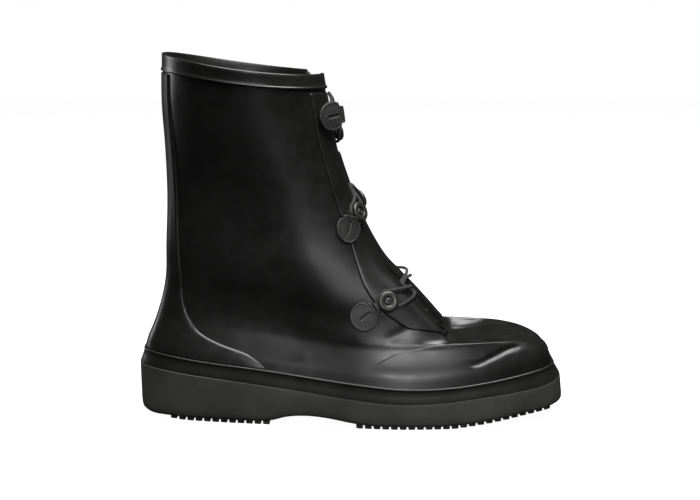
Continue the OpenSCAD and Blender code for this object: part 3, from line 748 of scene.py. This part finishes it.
def build_insole():
    k = np.linspace(0, 2, 160, endpoint=False)
    k = np.floor(k) + (k % 1) * 0.3 + 0.7 * (1 - np.cos(np.pi * (k % 1))) / 2
    rings = []
    for d, h in ((-3.8, 0.1), (-3.8, 1.4), (-4.1, 1.9), (-4.8, 2.1), (-12, 2.1)):
        p = sole_pt(k, np.full(k.shape, 1.5), np.full(k.shape, float(d)))
        p[:, 2] = curve(UNDER, p[:, 0]) + 4.2 + h
        rings.append(p)
    m = len(k)
    faces = grid_faces(len(rings), m, wrap_cols=True, turn=True)
    for base, flip in ((0, False), ((len(rings) - 1) * m, True)):
        for i in range(m // 2):
            quad = [base + i, base + i + 1, base + (m - i - 1) % m, base + (m - i) % m]
            quad = list(dict.fromkeys(quad))
            if len(quad) > 2:
                faces.append(tuple(quad[::-1] if flip else quad))
    obj = put("insole_sheet", np.concatenate(rings), faces, [LINING], sharp=50)
    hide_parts("insole")
    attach(obj, "upper")


# ---- fasteners: 0 bottom, 1 middle, 2 top, 3 top of the far side ----
FIX = [
    (0.73, 0.403, 212, 0.47), (0.85, 0.685, 205, 0.755), (0.965, 0.912, 182, 0.955),
    (0.87, 0.86, 190, 0.955),
]
TAB_PLACE = [
    (11.8, 3.4, (-0.8, -0.14, -0.59), (0.1, -0.97, 0.2)),
    (13.8, 6, (-0.15, -0.24, -0.97), (0.6, -0.79, 0.1)),
    (16.4, 10.6, (-0.86, -0.49, -0.16), (0.5, -0.87, 0)),
]
NECK_PATH = [
    ((7.7, 2.9), (9.2, 3.1), (10.6, 3.4)),
    ((7.7, 2.9), (9.2, 3.2), (10.8, 3.6)),
    ((7.7, 2.9), (9.6, 4.4), (12.4, 8.0), (15.0, 10.4)),
]
LIFT = (0.6, 0.4, 0.2, 0.4)


def fastener(i, far=False):
    """Origin on the surface, and the local axes t, b and n, of one fastener."""
    u, v, turn, _ = FIX[i]
    o = near_s(u, v)
    n = near_n(u, v)
    e = near_s(u + 0.004, v) - near_s(u - 0.004, v)
    x = unit(e - n * (e @ n))
    y = np.cross(n, x)
    a = math.radians(turn)
    t = x * math.cos(a) + y * math.sin(a)
    b = np.cross(n, t)
    if far:
        mirror = np.array([1, -1, 1])
        return o * mirror, t * mirror, b * mirror, n * mirror
    return o, t, b, n


BUTTON_PROFILE = [
    (1.55, 2.2), (3.2, 2.2), (3.2, 4.3), (3.5, 4.55), (6.6, 4.6), (7.3, 4.9), (7.65, 5.4),
    (7.7, 6.1), (7.55, 6.7), (7.1, 7.15), (6.3, 7.4), (5.2, 7.35), (4.3, 7.2), (3.6, 7.0),
    (3.3, 6.7), (3.2, 6.2), (3.15, 5.7), (1.55, 5.6),
]
RIVET_PROFILE = [
    (0.02, -3.1), (3.4, -3.1), (3.9, -2.9), (4.0, -2.5), (3.9, -2.3), (1.5, -2.3), (1.5, 5.65),
    (2.5, 5.65), (2.7, 5.85), (2.65, 6.15), (2.3, 6.45), (1.5, 6.65), (0.9, 6.6), (0.7, 6.3),
    (0.02, 6.25),
]
WASHER_PROFILE = [
    (1.6, 1.1), (5.6, 1.1), (5.75, 1.4), (5.6, 1.85), (5.2, 2.1), (1.6, 2.12),
]


def build_fastener(i, side, number):
    far = side == "far"
    body = "upper" if far else "near_flap"
    place = fastener(i, far)
    for kind, profile, mat, slot in (
        ("button", BUTTON_PROFILE, BUTTON, "button"),
        ("rivet", RIVET_PROFILE, RIVET, "rivet"),
        ("washer", WASHER_PROFILE, BUTTON, "button"),
    ):
        rows = profile
        if far:
            rows = profile[::-1]
        rows = list(rows) + ([] if kind == "rivet" else [rows[0]])
        obj = lathe(rows, place, f"{side}_{kind}_{number}_turned", [mat])
        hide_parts(f"{side}_{kind}_{number}")
        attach(obj, body)


def loop_points(i):
    """Half of an elastic loop: round the button, and two strands to the front."""
    u, v, _, va = FIX[i]
    o, t, b, n = fastener(i)
    r = LOOP_RADIUS
    ridge = near_s(1, va)
    apex = np.array([ridge[0], -2.4, ridge[2]]) + front_n(va) * 2.2
    ax, ay = (apex - o) @ t, (apex - o) @ b
    heading = math.atan2(ay, ax)
    spread = math.acos(min(r / math.hypot(ax, ay), 0.8))
    turns = heading + spread + np.linspace(0, 1, 19) * (2 * math.pi - 2 * spread)
    arc = [o + t * (r * math.cos(a)) + b * (r * math.sin(a)) + n * CORD_HEIGHT for a in turns]
    f = np.arange(0.12, 0.9, 0.11)
    height = CORD_HEIGHT + LIFT[i] * np.sin(np.pi * f)
    mid = side_pt(u + (1 - u) * f, v + (va - v) * f, height)
    count = len(mid)
    fade = [1 - (k + 1) / (count + 1) for k in range(count)]
    strand = [mid[k] + (arc[18] - o - n * CORD_HEIGHT) * fade[k] for k in range(count)]
    back = [mid[k] + (arc[0] - o - n * CORD_HEIGHT) * fade[k] for k in range(count - 1, -1, -1)]
    ends = [apex + (arc[18] - arc[0]) * 0.06, apex + (arc[0] - arc[18]) * 0.06]
    return np.array(arc + strand + ends + back)


def closed_smooth(points, count):
    """Even points on a smooth closed curve through the given ones."""
    dense = []
    for p, q in zip(points, np.roll(points, -1, axis=0)):
        steps = max(1, math.ceil(np.linalg.norm(q - p) / 3.0))
        dense += [p + (q - p) * j / steps for j in range(steps)]
    points = np.array(dense)
    ringed = np.concatenate([points[-3:], points, points[:4]])
    gaps = np.linalg.norm(np.diff(ringed, axis=0), axis=1)
    at = np.concatenate([[0], np.cumsum(gaps)])
    knots = [(a, *p) for a, p in zip(at, ringed)]
    start, end = at[3], at[3 + len(points)]
    return curve(knots, np.linspace(start, end, count, endpoint=False))


def build_loops():
    for number in (1, 2, 3):
        i = number - 1
        o, t, b, n = fastener(i)
        path = closed_smooth(loop_points(i), 170)
        obj = tube(f"near_loop_{number}_cord", path, CORD_RADIUS, [CORD], closed=True)
        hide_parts(f"near_loop_{number}")
        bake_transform(obj)
        neck_points = [o + t * x + n * z for x, z in NECK_PATH[i]]
        build_neck(number, neck_points, b)
        far_i = 3 if number == 3 else i
        mirror = np.array([1, -1, 1])
        path = closed_smooth(loop_points(far_i), 170) * mirror
        obj = tube(f"far_loop_{number}_cord", path[::-1], CORD_RADIUS, [CORD], closed=True)
        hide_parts(f"far_loop_{number}")
        fo = fastener(far_i, far=True)[0]
        front = near_s(1, FIX[i][3])
        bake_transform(obj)


def build_neck(number, points, b):
    """The short flat neck from the loop to its tab, with a rounded section."""
    path = smooth_path(points, 14)
    tangent = unit(np.gradient(path, axis=0))
    turn = np.linspace(0, 2 * np.pi, 20, endpoint=False)
    rings = []
    for k, p in enumerate(path):
        across = unit(b - tangent[k] * (b @ tangent[k]))
        thick = np.cross(tangent[k], across)
        share = k / (len(path) - 1)
        half = 2.6 + 2.6 * share
        rings.append(
            p
            + (np.sign(np.cos(turn)) * np.abs(np.cos(turn)) ** 0.6 * half)[:, None] * across
            + (np.sign(np.sin(turn)) * np.abs(np.sin(turn)) ** 0.7 * 1.25)[:, None] * thick
        )
    obj = sweep(f"loop_{number}_neck", rings, [TAB], sharp=60)
    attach(obj, f"loop_{number}")


def build_tab(number):
    """A pull tab: a thick disc on a short root, with a bead round it and a slot in it."""
    i = number - 1
    hx, hz, direction, facing = TAB_PLACE[i]
    o, t0, _, n0 = fastener(i)
    root = o + t0 * hx + n0 * hz
    t = unit(np.array(direction, float))
    n = np.array(facing, float)
    n = unit(n - t * (n @ t))
    b = np.cross(n, t)
    radius, centre = 11.0, 9.0
    count = 96
    a = np.linspace(-np.pi, np.pi, count, endpoint=False)
    rim_x = centre + radius * np.cos(a)
    rim_y = radius * np.sin(a)
    inside = rim_x < 2.5
    rim_x = np.where(inside, np.maximum(rim_x, -0.6), rim_x)
    rim_y = np.where(rim_x < 2.5, np.clip(rim_y, -6.4, 6.4), rim_y)
    curl = 0.9
    slot_x, slot_half, slot_radius, slot_depth = 8.2, 3.6, 1.1, 0.75

    def ring(scale, height):
        x = centre + (rim_x - centre) * scale
        y = rim_y * scale
        lift = curl * ((x - centre) / radius) ** 2 * 0.5 - curl * (y / radius) ** 2 * 0.6
        if height > 0.9:
            edge = np.hypot(np.maximum(np.abs(x - slot_x) - slot_half, 0), y) - slot_radius
            lift = lift - slot_depth * np.clip(0.5 - edge / 0.4, 0, 1)
        return root + x[:, None] * t + y[:, None] * b + (height + lift)[:, None] * n

    rows = [
        (0.04, -1.2), (0.5, -1.25), (0.9, -1.2), (0.965, -1.0), (0.995, -0.5), (1.0, 0.1),
        (0.992, 0.7), (0.96, 1.15), (0.915, 1.3), (0.875, 1.22), (0.84, 1.0),
    ]
    rows += [(scale, 1.0) for scale in np.arange(0.8, 0.01, -0.03)]
    rings = [ring(scale, height) for scale, height in rows]
    obj = sweep(f"tab_{number}_disc", rings, [TAB], sharp=60)
    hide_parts(f"tab_{number}")
    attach(obj, f"tab_{number}")


build_quarter()
build_far()
build_flap()
build_vamp()
build_counter()
build_stay(False)
build_stay(True)
build_gusset()
build_binding("rim_binding", "top_binding", "upper", -0.782, 0.558, 170)
build_binding("rim_binding_flap", "flap_binding", "near_flap", 0.5585, 1.0, 60)
build_sole()
build_tread("forefoot_lugs", "forefoot_tread", 6, 152)
build_tread("heel_lugs", "heel_tread", -136, -62)
build_insole()
for number in (1, 2, 3):
    build_fastener(number - 1, "near", number)
    build_fastener(3 if number == 3 else number - 1, "far", number)
    build_tab(number)
build_loops()


# ---- floor, light and camera ----
def build_stage():
    verts = [(-6000, -3000, 0), (6000, -3000, 0), (6000, 3600, 0), (-6000, 3600, 0)]
    floor = put("floor", verts, [(0, 1, 2, 3)], [])
    m = bpy.data.materials.new("pale_floor")
    m.use_nodes = True
    s = m.node_tree.nodes["Principled BSDF"]
    s.inputs["Base Color"].default_value = (0.3, 0.3, 0.3, 1)
    s.inputs["Roughness"].default_value = 0.9
    s.inputs["Specular IOR Level"].default_value = 0.1
    s.inputs["Emission Color"].default_value = (1, 1, 1, 1)
    s.inputs["Emission Strength"].default_value = 0.95
    floor.data.materials.append(m)
    floor.visible_glossy = False
    floor.visible_diffuse = False


def area(name, location, target, size, power):
    data = bpy.data.lights.new(name, "AREA")
    data.shape = "RECTANGLE"
    data.size, data.size_y = size[0] * MM, size[1] * MM
    data.energy = power
    obj = bpy.data.objects.new(name, data)
    aim_at(obj, location, target)


def spot(name, location, target, cone, radius, power):
    """A soft spot that lights the ankle and foot and leaves the top of the shaft dark."""
    data = bpy.data.lights.new(name, "SPOT")
    data.spot_size = math.radians(cone)
    data.spot_blend = 1.0
    data.shadow_soft_size = radius * MM
    data.energy = power
    obj = bpy.data.objects.new(name, data)
    aim_at(obj, location, target)


def aim_at(obj, location, target):
    obj.location = metres(location)
    aim = np.array(target, float) - np.array(location, float)
    obj.rotation_euler = Vector(aim).to_track_quat("-Z", "Y").to_euler()
    bpy.context.scene.collection.objects.link(obj)


build_stage()


def studio_world():
    """A white surround that gives the boot only a little light of its own."""
    world = bpy.data.worlds.new("studio")
    world.use_nodes = True
    t = world.node_tree
    t.nodes.clear()
    out = t.nodes.new("ShaderNodeOutputWorld")
    mix = t.nodes.new("ShaderNodeMixShader")
    rays = t.nodes.new("ShaderNodeLightPath")
    dim = t.nodes.new("ShaderNodeBackground")
    white = t.nodes.new("ShaderNodeBackground")
    dim.inputs["Color"].default_value = (1, 1, 1, 1)
    dim.inputs["Strength"].default_value = 0.03
    white.inputs["Color"].default_value = (1, 1, 1, 1)
    white.inputs["Strength"].default_value = 1.0
    t.links.new(rays.outputs["Is Camera Ray"], mix.inputs[0])
    t.links.new(dim.outputs[0], mix.inputs[1])
    t.links.new(white.outputs[0], mix.inputs[2])
    t.links.new(mix.outputs[0], out.inputs[0])
    bpy.context.scene.world = world


studio_world()
bpy.context.scene.view_settings.view_transform = "Standard"
area("overhead", (160, -420, 1400), (60, -40, 40), (1300, 1200), 66)
spot("front", (90, -1500, 420), (40, -40, 52), 13.5, 200, 80)
spot("ankle", (-60, -1500, 60), (-55, -40, 132), 7.5, 140, 13)
area("behind", (-1300, 500, 500), (-140, 0, 120), (300, 900), 5)

camera = bpy.data.cameras.new("camera")
camera.lens = 70.1
camera.sensor_width = 36.0
camera.clip_start, camera.clip_end = 0.05, 40.0
eye = bpy.data.objects.new("camera", camera)
eye.location = metres((-1.2, -1033.4, 312.9))
eye.rotation_euler = (math.radians(90 - 10.2), 0, 0)
bpy.context.scene.collection.objects.link(eye)
bpy.context.scene.camera = eye
